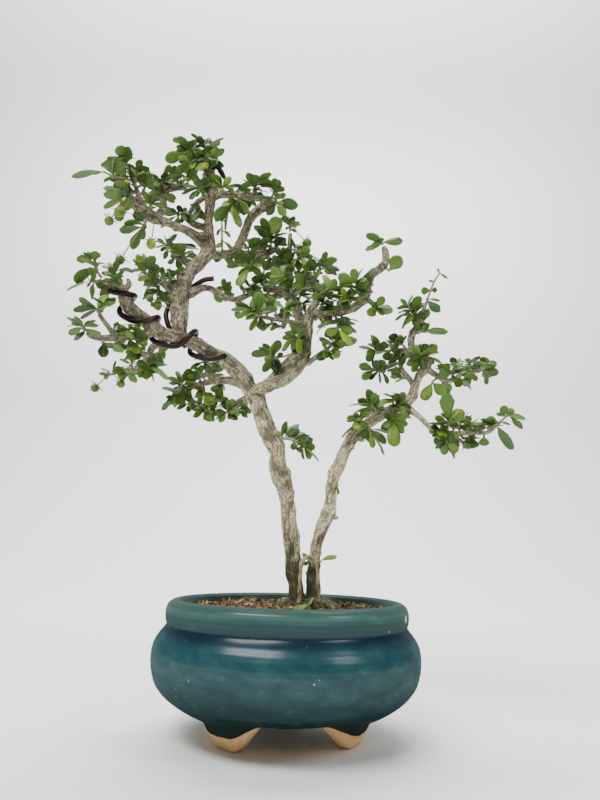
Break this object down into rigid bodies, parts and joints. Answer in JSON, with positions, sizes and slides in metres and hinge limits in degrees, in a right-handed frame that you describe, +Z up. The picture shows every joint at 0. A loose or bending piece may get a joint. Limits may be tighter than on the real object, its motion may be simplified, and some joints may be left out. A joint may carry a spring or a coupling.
{
  "type": "fukien tea bonsai",
  "caption": "Fukien tea bonsai: two slim trunks from one root crown, wired branches with small dark leaves and green berries, in a round glazed three-footed pot.",
  "frame": {"origin": "on the ground below the middle of the pot, which is also the middle of the whole tree from side to side", "axes": "+Z up, the front of the tree and pot looks along -Y, +X to the viewer's right"},
  "size_m": [0.3108, 0.1698, 0.4439],
  "materials": {
    "glaze": "gloss",
    "soil_grit": "matte",
    "net_plastic": "matte",
    "bark": "matte",
    "wire_coat": "satin",
    "berry_skin": "satin",
    "leaf_green": "satin"
  },
  "bodies": {
    "root": {"apex_left": "leaf_green", "apex_right": "leaf_green", "apex_star": "leaf_green", "apex_under": "leaf_green", "arm_twig_end": "leaf_green", "back_left_high_end": "leaf_green", "back_left_low_end": "leaf_green", "behind_limb_shoot": "leaf_green", "bend_back": "leaf_green", "bend_front": "leaf_green", "bend_lobed": "leaf_green", "bend_upper": "leaf_green", "crown_long_leaf": "leaf_green", "crown_low": "leaf_green", "crown_tip": "leaf_green", "crown_under": "leaf_green", "drain_net": "net_plastic", "fork_shoot_end": "leaf_green", "front_arm_big": "leaf_green", "front_arm_round": "leaf_green", "front_arm_tip": "leaf_green", "front_arm_top": "leaf_green", "front_arm_under": "leaf_green", "front_left_end": "leaf_green", "inner_crown_top": "leaf_green", "leader_long_leaf": "leaf_green", "leader_low_end": "leaf_green", "leader_shoot": "leaf_green", "leader_tip": "leaf_green", "leader_wire": "wire_coat", "left_fork_end": "leaf_green", "left_fork_under": "leaf_green", "light_shoot": "leaf_green", "limb_stub_end": "leaf_green", "limb_wire": "wire_coat", "low_left_end": "leaf_green", "low_left_second_end": "leaf_green", "pot": "glaze", "reach_big_leaf": "leaf_green", "reach_low": "leaf_green", "reach_tip": "leaf_green", "right_inner_end": "leaf_green", "ripening_berry": "berry_skin", "soil": "soil_grit", "tall_twig_middle": "leaf_green", "tall_twig_star": "leaf_green", "top_arm_end": "leaf_green", "top_arm_hanging": "leaf_green", "top_arm_upper": "leaf_green", "trunk_and_branches": "bark", "trunk_shoot": "leaf_green", "twist_tip": "leaf_green", "upper_reach_end": "leaf_green", "upper_reach_middle": "leaf_green", "upper_right_fan": "leaf_green", "upper_right_under": "leaf_green", "upright_end": "leaf_green", "upright_fork_end": "leaf_green", "wired_end_top": "leaf_green", "wired_end_upper": "leaf_green"}
  },
  "joints": []
}
